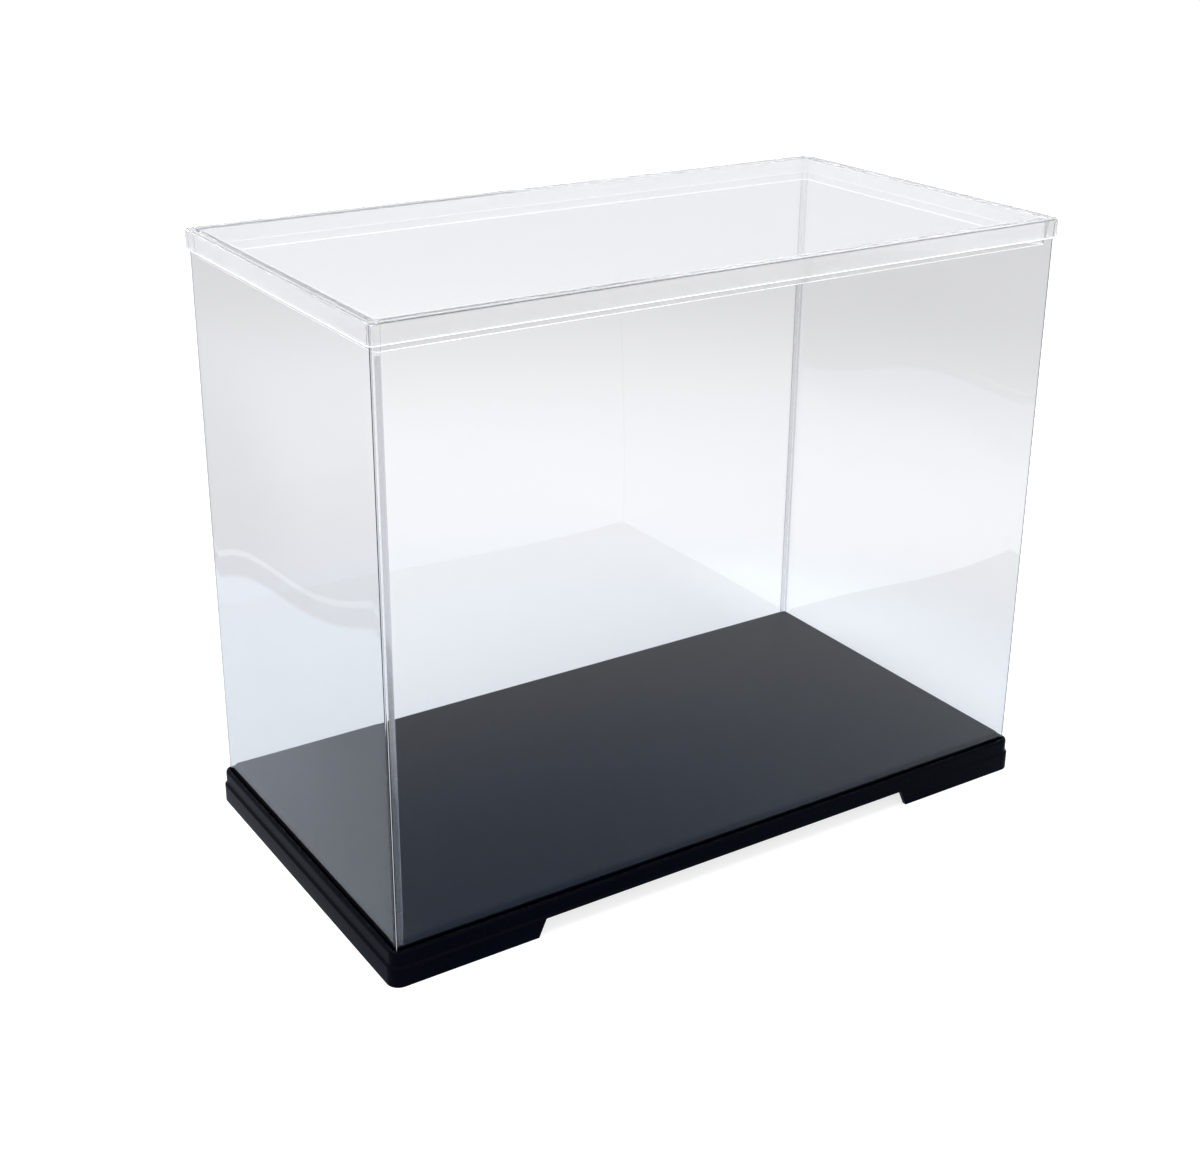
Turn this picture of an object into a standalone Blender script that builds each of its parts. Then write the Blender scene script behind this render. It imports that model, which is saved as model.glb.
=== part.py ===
"""Clear display case for a figure.

A black moulded base carries a raised platform inside a narrow groove. Two clear sheets, each
folded into an L with a welding tab, stand in the groove as a four-sided sleeve. A clear moulded
lid sits on the sleeve's top edge, with a skirt outside the sheets and a flange inside them.

The long side lies along X, the front is -Y, and the case stands on the XY plane.
All lengths are in metres.
"""

import math

import bmesh
import bpy

# Whole case
CASE_LENGTH = 0.3715
CASE_DEPTH = 0.1967
CASE_HEIGHT = 0.300
SEAT_GAP = 0.0003
FIT_CLEARANCE = 0.00035
CUT_OVERRUN = 0.002

# Clear sheets of the sleeve
SHEET_THICKNESS = 0.0005
WELD_GAP = 0.0003
FOLD_RADIUS = 0.0022
TAB_WIDTH = 0.007
FREE_EDGE_SETBACK_SHARE = 0.7
PANEL_BOW = 0.0015

# Base, from the outside in
BASE_CORNER_RADIUS = 0.006
SKIRT_WALL = 0.0025
LOWER_BAND_HEIGHT = 0.0092
LEDGE_STEP = 0.001
RIM_HEIGHT = 0.0185
RIM_THICKNESS = 0.0023
RIM_OUTER_ROUNDING_SHARE = 0.85
GROOVE_DEPTH = 0.0065
PLATFORM_RISE = 0.002
PLATFORM_ROUNDING = 0.0011
PLATFORM_CORNER_RADIUS = 0.0025
BASE_WALL = 0.002
HOLLOW_CORNER_RADIUS = 0.002

# Feet, left at the ends of the skirt by the cut-outs in its long sides
FOOT_LENGTH = 0.074
CUT_OUT_SIDE_SLOPE = 0.0047
CUT_OUT_BELOW_LEDGE = 0.0002

# Stiffening ribs under the platform
RIB_DEPTH = 0.004
RIB_THICKNESS = 0.0015
CROSS_RIB_COUNT = 5
LONG_RIB_COUNT = 2

# Lid
LID_PANEL = 0.001
LID_CORNER_RADIUS = 0.0026
LID_EDGE_ROUNDING = 0.0009
LID_SKIRT_DEPTH = 0.0093
LID_SKIRT_ROOT = 0.0013
LID_SKIRT_TIP = 0.0008
LID_FLANGE_DEPTH = 0.013
LID_FLANGE_ROOT = 0.002
LID_FLANGE_TIP = 0.0008
LID_FLANGE_DRAFT = 0.0002

# Insets from the case's outline, from the outside in
GROOVE_OUTER_INSET = LEDGE_STEP + RIM_THICKNESS
SHEET_INSET = GROOVE_OUTER_INSET + FIT_CLEARANCE
TAB_INSET = SHEET_INSET + SHEET_THICKNESS + WELD_GAP
SLOT_INNER_INSET = TAB_INSET + SHEET_THICKNESS + FIT_CLEARANCE
HOLLOW_INSET = SLOT_INNER_INSET + BASE_WALL
LID_INSET = SHEET_INSET - FIT_CLEARANCE - LID_SKIRT_ROOT
SLOT_CORNER_RADIUS = FOLD_RADIUS + FIT_CLEARANCE

# Heights above the ground
GROOVE_FLOOR_HEIGHT = RIM_HEIGHT - GROOVE_DEPTH
PLATFORM_HEIGHT = RIM_HEIGHT + PLATFORM_RISE
CEILING_HEIGHT = PLATFORM_HEIGHT - BASE_WALL
SHEET_FOOT_HEIGHT = GROOVE_FLOOR_HEIGHT + SEAT_GAP
LID_SEAT_HEIGHT = CASE_HEIGHT - LID_PANEL
SHEET_HEIGHT = LID_SEAT_HEIGHT - SEAT_GAP - SHEET_FOOT_HEIGHT

# Mesh steps
CORNER_STEPS = 8
EDGE_STEPS = 5
FOLD_STEPS = 5
LONG_PANEL_STEPS = 16
SHORT_PANEL_STEPS = 10
TAB_STEPS = 2
BOW_ROWS = 14
QUARTER_TURN = math.pi / 2
SMOOTH_ANGLE = math.radians(30)


def empty_the_scene():
    """Remove every object that the scene starts with."""
    for item in list(bpy.data.objects):
        bpy.data.objects.remove(item)


def new_collection(name):
    """Add a collection to the scene."""
    collection = bpy.data.collections.new(name)
    bpy.context.scene.collection.children.link(collection)
    return collection


def plastic(name, colour, roughness, transmission):
    """Moulded or extruded plastic, black or clear."""
    material = bpy.data.materials.new(name)
    material.use_nodes = True
    shader = material.node_tree.nodes["Principled BSDF"]
    shader.inputs["Base Color"].default_value = (*colour, 1)
    shader.inputs["Roughness"].default_value = roughness
    shader.inputs["Metallic"].default_value = 0
    shader.inputs["Transmission Weight"].default_value = transmission
    return material


def piece(name, shape, material, collection):
    """Turn a bmesh into a named object with its material."""
    mesh = bpy.data.meshes.new(name)
    shape.to_mesh(mesh)
    shape.free()
    mesh.shade_smooth()
    mesh.set_sharp_from_angle(angle=SMOOTH_ANGLE)
    mesh.materials.append(material)
    item = bpy.data.objects.new(name, mesh)
    collection.objects.link(item)
    return item


def rounded_outline(inset, radius, height):
    """Points of a rounded rectangle that lies inset from the case's outline."""
    centre_x = CASE_LENGTH / 2 - inset - radius
    centre_y = CASE_DEPTH / 2 - inset - radius
    points = []
    for corner, (side_x, side_y) in enumerate(((1, 1), (-1, 1), (-1, -1), (1, -1))):
        for step in range(CORNER_STEPS + 1):
            angle = (corner + step / CORNER_STEPS) * QUARTER_TURN
            x = side_x * centre_x + radius * math.cos(angle)
            y = side_y * centre_y + radius * math.sin(angle)
            points.append((x, y, height))
    return points


def rounded_shoulder(inset, radius, top, rounding):
    """Levels of a quarter round that turns a rising wall into a flat top."""
    levels = []
    for step in range(EDGE_STEPS + 1):
        angle = step / EDGE_STEPS * QUARTER_TURN
        inward = rounding * (1 - math.cos(angle))
        drop = rounding * (1 - math.sin(angle))
        levels.append((inset + inward, radius - inward, top - drop))
    return levels


def loft(levels):
    """Closed body through unlike rounded outlines, capped at its first and last level."""
    shape = bmesh.new()
    rings = []
    for inset, radius, height in levels:
        outline = rounded_outline(inset, radius, height)
        rings.append([shape.verts.new(point) for point in outline])
    for ring, next_ring in zip(rings, rings[1:]):
        for corner in range(len(ring)):
            shape.faces.new((ring[corner - 1], ring[corner], next_ring[corner], next_ring[corner - 1]))
    shape.faces.new(rings[0])
    shape.faces.new(rings[-1])
    bmesh.ops.recalc_face_normals(shape, faces=shape.faces)
    return shape


def base_levels():
    """Base from the hollow's ceiling, down and round the skirt, over the rim, to the platform."""
    shelf_height = GROOVE_FLOOR_HEIGHT - BASE_WALL
    rim_radius = BASE_CORNER_RADIUS - LEDGE_STEP
    rim_rounding = RIM_THICKNESS * RIM_OUTER_ROUNDING_SHARE
    lip_chamfer = RIM_THICKNESS - rim_rounding
    levels = [
        (HOLLOW_INSET, HOLLOW_CORNER_RADIUS, CEILING_HEIGHT),
        (HOLLOW_INSET, HOLLOW_CORNER_RADIUS, shelf_height),
        (SKIRT_WALL, BASE_CORNER_RADIUS - SKIRT_WALL, shelf_height),
        (SKIRT_WALL, BASE_CORNER_RADIUS - SKIRT_WALL, 0),
        (0, BASE_CORNER_RADIUS, 0),
        (0, BASE_CORNER_RADIUS, LOWER_BAND_HEIGHT),
        (LEDGE_STEP, rim_radius, LOWER_BAND_HEIGHT + LEDGE_STEP),
    ]
    levels += rounded_shoulder(LEDGE_STEP, rim_radius, RIM_HEIGHT, rim_rounding)
    levels += [
        (GROOVE_OUTER_INSET, SLOT_CORNER_RADIUS, RIM_HEIGHT - lip_chamfer),
        (GROOVE_OUTER_INSET, SLOT_CORNER_RADIUS, GROOVE_FLOOR_HEIGHT),
        (SLOT_INNER_INSET, PLATFORM_CORNER_RADIUS, GROOVE_FLOOR_HEIGHT),
    ]
    levels += rounded_shoulder(
        SLOT_INNER_INSET, PLATFORM_CORNER_RADIUS, PLATFORM_HEIGHT, PLATFORM_ROUNDING
    )
    return levels


def lid_levels():
    """Lid from its ceiling, down the flange, up into the slot, round the skirt, to the top."""
    skirt_edge = LID_PANEL - LID_SKIRT_DEPTH
    flange_edge = LID_PANEL - LID_FLANGE_DEPTH
    ceiling_inset = SLOT_INNER_INSET + LID_FLANGE_ROOT
    flange_tip_inset = ceiling_inset - LID_FLANGE_DRAFT
    levels = [
        (ceiling_inset, PLATFORM_CORNER_RADIUS, 0),
        (flange_tip_inset, PLATFORM_CORNER_RADIUS, flange_edge),
        (flange_tip_inset - LID_FLANGE_TIP, PLATFORM_CORNER_RADIUS, flange_edge),
        (SLOT_INNER_INSET, PLATFORM_CORNER_RADIUS, 0),
        (GROOVE_OUTER_INSET, SLOT_CORNER_RADIUS, 0),
        (LID_INSET + LID_SKIRT_TIP, SLOT_CORNER_RADIUS, skirt_edge),
        (LID_INSET, LID_CORNER_RADIUS, skirt_edge),
    ]
    levels += rounded_shoulder(LID_INSET, LID_CORNER_RADIUS, LID_PANEL, LID_EDGE_ROUNDING)
    return levels


def block(name, size, centre, collection):
    """Rectangular helper body for a Boolean, drawn as a wire and kept out of renders."""
    shape = bmesh.new()
    bmesh.ops.create_cube(shape, size=1)
    bmesh.ops.scale(shape, verts=shape.verts, vec=size)
    bmesh.ops.translate(shape, verts=shape.verts, vec=centre)
    mesh = bpy.data.meshes.new(name)
    shape.to_mesh(mesh)
    shape.free()
    item = bpy.data.objects.new(name, mesh)
    item.display_type = "WIRE"
    item.hide_render = True
    collection.objects.link(item)
    return item


def cut_out_cutter(collection):
    """Block with sloping ends that opens the skirt's long sides between the feet."""
    top = LOWER_BAND_HEIGHT - CUT_OUT_BELOW_LEDGE
    half_length = CASE_LENGTH / 2 - FOOT_LENGTH
    slope = CUT_OUT_SIDE_SLOPE / top
    size = (2 * half_length, CASE_DEPTH + 2 * CUT_OVERRUN, top + CUT_OVERRUN)
    cutter = block("cut_out_cutter", size, (0, 0, (top - CUT_OVERRUN) / 2), collection)
    for corner in cutter.data.vertices:
        corner.co.x -= math.copysign(slope * corner.co.z, corner.co.x)
    return cutter


def rib_blocks(collection):
    """Crossing ribs that hang from the hollow's ceiling and run into its walls."""
    bite = BASE_WALL / 2
    span_x = CASE_LENGTH - 2 * HOLLOW_INSET
    span_y = CASE_DEPTH - 2 * HOLLOW_INSET
    height = RIB_DEPTH + bite
    centre_z = CEILING_HEIGHT + bite - height / 2
    ribs = []
    for number in range(CROSS_RIB_COUNT):
        x = span_x * ((number + 1) / (CROSS_RIB_COUNT + 1) - 0.5)
        size = (RIB_THICKNESS, span_y + 2 * bite, height)
        ribs.append(block(f"cross_rib_{number + 1}", size, (x, 0, centre_z), collection))
    for number in range(LONG_RIB_COUNT):
        y = span_y * ((number + 1) / (LONG_RIB_COUNT + 1) - 0.5)
        size = (span_x + 2 * bite, RIB_THICKNESS, height)
        ribs.append(block(f"long_rib_{number + 1}", size, (0, y, centre_z), collection))
    return ribs


def combine(item, other, operation):
    """Add a Boolean modifier that joins or cuts with a helper body."""
    modifier = item.modifiers.new(other.name, "BOOLEAN")
    modifier.operation = operation
    modifier.solver = "EXACT"
    modifier.object = other


def make_base(collection, helpers):
    """Black base: hollow skirt with two feet, rim, groove and raised platform."""
    colour = plastic("black_plastic", (0.012, 0.013, 0.016), 0.28, 0)
    base = piece("base", loft(base_levels()), colour, collection)
    for rib in rib_blocks(helpers):
        combine(base, rib, "UNION")
    combine(base, cut_out_cutter(helpers), "DIFFERENCE")
    return base


def fold(centre_x, centre_y, first_quarter):
    """Plan points of a quarter fold, without its first point."""
    points = []
    for step in range(1, FOLD_STEPS + 1):
        angle = (first_quarter + step / FOLD_STEPS) * QUARTER_TURN
        x = centre_x + FOLD_RADIUS * math.cos(angle)
        y = centre_y + FOLD_RADIUS * math.sin(angle)
        points.append((x, y))
    return points


def straight(start, end, steps):
    """Plan points along a straight stretch, without its first point."""
    points = []
    for step in range(1, steps + 1):
        share = step / steps
        x = start[0] + (end[0] - start[0]) * share
        y = start[1] + (end[1] - start[1]) * share
        points.append((x, y))
    return points


def sheet_plan():
    """Outer face of the front and right sheet in plan, from its free edge to its tab's edge."""
    right = CASE_LENGTH / 2 - SHEET_INSET
    front = SHEET_INSET - CASE_DEPTH / 2
    tab_y = CASE_DEPTH / 2 - TAB_INSET
    fold_x = right - FOLD_RADIUS
    points = [(FOLD_RADIUS * FREE_EDGE_SETBACK_SHARE - right, front)]
    points += straight(points[-1], (fold_x, front), LONG_PANEL_STEPS)
    points += fold(fold_x, front + FOLD_RADIUS, 3)
    points += straight(points[-1], (right, tab_y - FOLD_RADIUS), SHORT_PANEL_STEPS)
    points += fold(fold_x, tab_y - FOLD_RADIUS, 0)
    points += straight(points[-1], (right - TAB_WIDTH, tab_y), TAB_STEPS)
    return points


def row_heights():
    """Heights of the sheet's mesh rows above its lower edge."""
    rim = RIM_HEIGHT - SHEET_FOOT_HEIGHT
    flange = CASE_HEIGHT - LID_FLANGE_DEPTH - SHEET_FOOT_HEIGHT
    between = [rim + (flange - rim) * row / BOW_ROWS for row in range(BOW_ROWS + 1)]
    return [0, *between, SHEET_HEIGHT]


def bow_out(shape):
    """Bulge the panels slightly between the rim and the lid, and not at their corners."""
    heights = row_heights()
    low, high = heights[1], heights[-2]
    width_x = CASE_LENGTH - 2 * SHEET_INSET
    width_y = CASE_DEPTH - 2 * SHEET_INSET
    for vertex in shape.verts:
        rise = min(max((vertex.co.z - low) / (high - low), 0), 1)
        bow = PANEL_BOW * math.sin(math.pi * rise) ** 2
        shift_x = bow * math.cos(math.pi * vertex.co.y / width_y) ** 2
        shift_y = bow * math.cos(math.pi * vertex.co.x / width_x) ** 2
        vertex.co.x += math.copysign(shift_x, vertex.co.x)
        vertex.co.y += math.copysign(shift_y, vertex.co.y)


def sheet_shape():
    """Open surface of one folded sheet, its lower edge at zero height."""
    shape = bmesh.new()
    row = [shape.verts.new((x, y, 0)) for x, y in sheet_plan()]
    edges = [shape.edges.new(pair) for pair in zip(row, row[1:])]
    heights = row_heights()
    for height, next_height in zip(heights, heights[1:]):
        grown = bmesh.ops.extrude_edge_only(shape, edges=edges)["geom"]
        edges = [part for part in grown if isinstance(part, bmesh.types.BMEdge)]
        lifted = [part for part in grown if isinstance(part, bmesh.types.BMVert)]
        bmesh.ops.translate(shape, verts=lifted, vec=(0, 0, next_height - height))
    bmesh.ops.reverse_faces(shape, faces=shape.faces)
    bow_out(shape)
    return shape


def make_sheet(name, turn, sleeve, collection):
    """One clear sheet of the sleeve, folded to an L with a welding tab."""
    clear = plastic(f"{name}_clear", (0.93, 0.96, 0.98), 0.04, 1)
    sheet = piece(name, sheet_shape(), clear, collection)
    solidify = sheet.modifiers.new("thickness", "SOLIDIFY")
    solidify.thickness = SHEET_THICKNESS
    solidify.offset = -1
    solidify.use_even_offset = True
    sheet.parent = sleeve
    sheet.rotation_euler.z = turn
    return sheet


def make_lid(sleeve, collection):
    """Clear lid, with its origin where it seats on the sheets' top edges."""
    clear = plastic("lid_clear", (0.95, 0.97, 0.99), 0.03, 1)
    lid = piece("lid", loft(lid_levels()), clear, collection)
    lid.parent = sleeve
    lid.location.z = LID_SEAT_HEIGHT - SHEET_FOOT_HEIGHT
    return lid


def make_sleeve_axis(collection):
    """Empty on the line along which the sleeve lifts, at the foot of its sheets."""
    sleeve = bpy.data.objects.new("sleeve_lift_axis", None)
    sleeve.location.z = SHEET_FOOT_HEIGHT
    collection.objects.link(sleeve)
    return sleeve


def main():
    empty_the_scene()
    case = new_collection("figure_display_case")
    helpers = new_collection("boolean_helpers")
    make_base(case, helpers)
    sleeve = make_sleeve_axis(case)
    make_sheet("front_right_sheet", 0, sleeve, case)
    make_sheet("back_left_sheet", math.pi, sleeve, case)
    make_lid(sleeve, case)


main()
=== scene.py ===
"""Clear display case for a figure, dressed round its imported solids.

A black moulded base, two folded clear sheets whose tabs are welded with a ribbed tool, and a clear
moulded lid. All lengths are in metres. The long side lies along X and the front is -Y.
"""

import math

import bmesh
import bpy
from bpy.props import FloatProperty, FloatVectorProperty, IntProperty, PointerProperty
from mathutils import Matrix, Vector


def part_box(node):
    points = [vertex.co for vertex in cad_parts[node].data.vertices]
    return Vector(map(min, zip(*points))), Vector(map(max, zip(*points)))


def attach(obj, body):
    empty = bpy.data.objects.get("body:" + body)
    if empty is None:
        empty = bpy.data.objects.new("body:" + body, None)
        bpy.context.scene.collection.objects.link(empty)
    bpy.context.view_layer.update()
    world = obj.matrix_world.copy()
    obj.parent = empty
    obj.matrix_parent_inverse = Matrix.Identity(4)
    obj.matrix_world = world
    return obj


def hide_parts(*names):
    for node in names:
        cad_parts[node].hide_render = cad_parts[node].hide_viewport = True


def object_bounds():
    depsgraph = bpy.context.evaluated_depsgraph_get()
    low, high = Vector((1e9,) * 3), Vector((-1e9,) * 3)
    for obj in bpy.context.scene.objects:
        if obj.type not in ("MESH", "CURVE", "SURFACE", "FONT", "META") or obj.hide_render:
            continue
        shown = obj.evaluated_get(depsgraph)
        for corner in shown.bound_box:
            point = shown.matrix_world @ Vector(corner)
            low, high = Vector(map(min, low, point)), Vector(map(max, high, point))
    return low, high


bl_info = {
    "name": "Figure display case",
    "version": (1, 0, 0),
    "blender": (4, 5, 0),
    "location": "3D View > Sidebar > Display case",
    "description": "Builds a clear display case with a black base and a lift-off lid",
    "category": "Object",
}

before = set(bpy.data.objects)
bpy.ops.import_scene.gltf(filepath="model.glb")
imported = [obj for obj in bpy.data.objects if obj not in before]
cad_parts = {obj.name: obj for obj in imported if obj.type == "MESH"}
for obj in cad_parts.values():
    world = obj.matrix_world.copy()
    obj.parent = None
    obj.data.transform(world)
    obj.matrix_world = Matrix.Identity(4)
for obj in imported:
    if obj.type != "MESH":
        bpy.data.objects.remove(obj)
CAD_LOW, CAD_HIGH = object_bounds()
BASE_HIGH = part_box("base")[1]
LID_LOW, LID_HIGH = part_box("lid")
SHEET_LOW, SHEET_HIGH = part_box("front_right_sheet")

CASE_LENGTH = CAD_HIGH.x - CAD_LOW.x
CASE_DEPTH = CAD_HIGH.y - CAD_LOW.y
QUARTER_TURN = math.pi / 2
SMOOTH_ANGLE = math.radians(28)
# plan radii and insets that several parts share
SLOT_CORNER_RADIUS = 0.0016
INNER_CORNER_RADIUS = 0.0025
CAP_INSET = 0.002
CAP_RADIUS = 0.0012
# how far a sheet's free edge stops short of its corner, as a share of the fold's radius
FREE_EDGE_SHARE = 0.7
# upward part of a face's normal from which the face counts as flat
FLAT_FACE = 0.97
# refraction of the plastics, size of their fine grain, and the levels that a noise keeps to
SHEET_IOR = 1.52
LID_IOR = 1.4
MATT_GRAIN = 0.001
NOISE_RANGE = (0.3, 0.7)
BLACK = (0, 0, 0, 1)
WHITE = (1, 1, 1, 1)


class CASE_PG_base(bpy.types.PropertyGroup):
    """Sizes and finish of the black base."""

    corner_radius: FloatProperty(
        name="Corner radius", description="Plan radius of the skirt's corners",
        default=0.006, unit="LENGTH",
    )
    skirt_wall: FloatProperty(
        name="Skirt wall", description="Thickness of the skirt round the hollow",
        default=0.0025, unit="LENGTH",
    )
    lower_band: FloatProperty(
        name="Lower band", description="Height of the skirt's lower band",
        default=0.0092, unit="LENGTH",
    )
    ledge_step: FloatProperty(
        name="Ledge step", description="How far the upper band stands back from the lower one",
        default=0.001, unit="LENGTH",
    )
    rim_height: FloatProperty(
        name="Rim height", description="Height of the rim outside the groove",
        default=0.0172, unit="LENGTH",
    )
    rim_thickness: FloatProperty(
        name="Rim thickness", description="Thickness of the rim outside the groove",
        default=0.0023, unit="LENGTH",
    )
    groove_depth: FloatProperty(
        name="Groove depth", description="Depth of the groove that the sheets stand in",
        default=0.0052, unit="LENGTH",
    )
    groove_inner_inset: FloatProperty(
        name="Platform inset", description="Distance from the case's outline to the platform's side",
        default=0.0053, unit="LENGTH",
    )
    wall: FloatProperty(
        name="Wall", description="Thickness of the platform and of the groove's floor",
        default=0.002, unit="LENGTH",
    )
    foot_length: FloatProperty(
        name="Foot length", description="Length of the skirt that is left at each end of a long side",
        default=0.0745, unit="LENGTH",
    )
    foot_slope: FloatProperty(
        name="Foot slope", description="How far a cut-out's end leans over its height",
        default=0.004, unit="LENGTH",
    )
    platform_fillet: FloatProperty(
        name="Platform fillet", description="Radius of the platform's top edge",
        default=0.0016, unit="LENGTH",
    )
    edge_fillet: FloatProperty(
        name="Edge fillet", description="Radius of the moulding's small edges",
        default=0.00025, unit="LENGTH",
    )
    colour: FloatVectorProperty(
        name="Colour", description="Colour of the moulded plastic", subtype="COLOR",
        default=(0.0004, 0.0012, 0.005), min=0, max=1,
    )
    grain_size: FloatProperty(
        name="Grain size", description="Width of one grain of the moulded texture",
        default=0.0005, unit="LENGTH",
    )
    rib_depth: FloatProperty(
        name="Rib depth", description="How far the ribs hang down under the platform",
        default=0.004, unit="LENGTH",
    )
    rib_thickness: FloatProperty(
        name="Rib thickness", description="Thickness of the ribs under the platform",
        default=0.0015, unit="LENGTH",
    )
    cross_ribs: IntProperty(
        name="Cross ribs", description="Number of ribs from the front to the back",
        default=5, min=0,
    )
    long_ribs: IntProperty(
        name="Long ribs", description="Number of ribs from the left to the right",
        default=2, min=0,
    )


class CASE_PG_sheets(bpy.types.PropertyGroup):
    """Sizes and finish of the folded clear sheets."""

    thickness: FloatProperty(
        name="Thickness", description="Thickness of the clear sheet",
        default=0.0005, unit="LENGTH",
    )
    inset: FloatProperty(
        name="Inset", description="Distance from the case's outline to the sheets' outer faces",
        default=0.00365, unit="LENGTH",
    )
    tab_inset: FloatProperty(
        name="Tab inset", description="Distance from the case's outline to the tabs' outer faces",
        default=0.00445, unit="LENGTH",
    )
    tab_width: FloatProperty(
        name="Tab width", description="Width of the welding tab, fold included",
        default=0.0044, unit="LENGTH",
    )
    fold_radius: FloatProperty(
        name="Fold radius", description="Outer radius of the folds",
        default=0.001, unit="LENGTH",
    )
    bow: FloatProperty(
        name="Bow", description="How far the middle of a panel bulges",
        default=0.0015, unit="LENGTH",
    )
    bow_start: FloatProperty(
        name="Bow start", description="Height from which a panel bulges",
        default=0.0185, unit="LENGTH",
    )
    rib_pitch: FloatProperty(
        name="Weld rib pitch", description="Distance between two ribs of the weld",
        default=0.0006, unit="LENGTH",
    )
    rib_height: FloatProperty(
        name="Weld rib height", description="How far the weld's ribs stand out of the sheet",
        default=0.00009, unit="LENGTH",
    )
    weld_start: FloatProperty(
        name="Weld start", description="Distance from the sleeve's corner to the weld strip",
        default=0.0013, unit="LENGTH",
    )
    weld_width: FloatProperty(
        name="Weld width", description="Width of the ribbed weld strip",
        default=0.0026, unit="LENGTH",
    )
    weld_foot: FloatProperty(
        name="Weld foot", description="Height of the weld strip's lower end",
        default=0.0195, unit="LENGTH",
    )
    colour: FloatVectorProperty(
        name="Tint", description="Tint of the clear sheet", subtype="COLOR",
        default=(0.99, 0.992, 0.996), min=0, max=1,
    )
    # Painted shade: the folds are tinted darker to stand in for the dark lines that the folds show.
    painted_crease_shade: FloatVectorProperty(
        name="Crease tint", description="Tint of the sheet in its folds", subtype="COLOR",
        default=(0.74, 0.76, 0.79), min=0, max=1,
    )


class CASE_PG_lid(bpy.types.PropertyGroup):
    """Sizes and finish of the clear lid."""

    inset: FloatProperty(
        name="Inset", description="Distance from the case's outline to the lid's skirt",
        default=0.002, unit="LENGTH",
    )
    corner_radius: FloatProperty(
        name="Corner radius", description="Plan radius of the lid's corners",
        default=0.0026, unit="LENGTH",
    )
    panel: FloatProperty(
        name="Panel", description="Thickness of the flat panel",
        default=0.001, unit="LENGTH",
    )
    edge_rounding: FloatProperty(
        name="Edge rounding", description="Radius between the panel's top and the skirt",
        default=0.0009, unit="LENGTH",
    )
    skirt_depth: FloatProperty(
        name="Skirt depth", description="Height of the skirt, panel included",
        default=0.0093, unit="LENGTH",
    )
    flange_depth: FloatProperty(
        name="Flange depth", description="Height of the inner flange, panel included",
        default=0.013, unit="LENGTH",
    )
    edge_wall: FloatProperty(
        name="Edge wall", description="Thickness of the skirt's and the flange's edges",
        default=0.0008, unit="LENGTH",
    )
    slot_outer: FloatProperty(
        name="Slot outer side",
        description="Distance from the case's outline to the outer side of the sheets' slot",
        default=0.0033, unit="LENGTH",
    )
    slot_inner: FloatProperty(
        name="Slot inner side",
        description="Distance from the case's outline to the inner side of the sheets' slot",
        default=0.0053, unit="LENGTH",
    )
    colour: FloatVectorProperty(
        name="Tint", description="Tint of the clear moulding", subtype="COLOR",
        default=(0.992, 0.992, 0.994), min=0, max=1,
    )


class CASE_PG_stage(bpy.types.PropertyGroup):
    """Floor, light and camera."""

    floor_radius: FloatProperty(
        name="Floor radius", description="Radius of the floor", default=9, unit="LENGTH",
    )
    near_floor: FloatVectorProperty(
        name="Near floor", description="Colour of the floor round the case", subtype="COLOR",
        default=(0.93, 0.965, 1.0), min=0, max=1,
    )
    middle_floor: FloatVectorProperty(
        name="Middle floor", description="Colour of the floor about half a metre off",
        subtype="COLOR", default=(0.97, 0.97, 0.975), min=0, max=1,
    )
    # Painted light: a pool of light on the floor right of the case.
    painted_light_floor: FloatVectorProperty(
        name="Bright floor", description="Colour of the bright patch right of the case",
        subtype="COLOR", default=(1.09, 1.13, 1.16), min=0, max=2,
    )
    far_floor: FloatVectorProperty(
        name="Far floor", description="Colour of the floor further off", subtype="COLOR",
        default=(0.78, 0.775, 0.77), min=0, max=1,
    )
    horizon: FloatVectorProperty(
        name="Horizon", description="Colour of the floor where it meets the surroundings",
        subtype="COLOR", default=(0.855, 0.86, 0.885), min=0, max=1,
    )
    # Painted shade: darkens the floor in front of the case where the case's shade falls; only the
    # case's reflections show it.
    shaded_floor: FloatVectorProperty(
        name="Shaded floor", description="Colour of the table's part in front of the case",
        subtype="COLOR", default=(0.38, 0.47, 0.64), min=0, max=1,
    )
    left_floor: FloatVectorProperty(
        name="Left floor", description="Colour of the table's left part", subtype="COLOR",
        default=(0.68, 0.73, 0.8), min=0, max=1,
    )
    beyond_table: FloatVectorProperty(
        name="Beyond table", description="Colour of what lies past the table's left edge",
        subtype="COLOR", default=(0.44, 0.44, 0.47), min=0, max=1,
    )
    backdrop: FloatVectorProperty(
        name="Backdrop", description="Colour of the room further past the table's edge",
        subtype="COLOR", default=(0.78, 0.78, 0.81), min=0, max=1,
    )
    # Painted highlight: a light line along the table's edge.
    table_edge_highlight: FloatVectorProperty(
        name="Table edge", description="Colour of the light line along the table's edge",
        subtype="COLOR", default=(0.66, 0.66, 0.68), min=0, max=1,
    )
    low_studio: FloatVectorProperty(
        name="Low studio", description="Colour of the surroundings near the horizon",
        subtype="COLOR", default=(0.8, 0.8, 0.82), min=0, max=1,
    )
    high_studio: FloatVectorProperty(
        name="High studio", description="Colour of the surroundings higher up",
        subtype="COLOR", default=(1.13, 1.14, 1.18), min=0, max=2,
    )
    lens: FloatProperty(
        name="Lens", description="Focal length of the camera in millimetres",
        default=53.964, min=1,
    )


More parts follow.
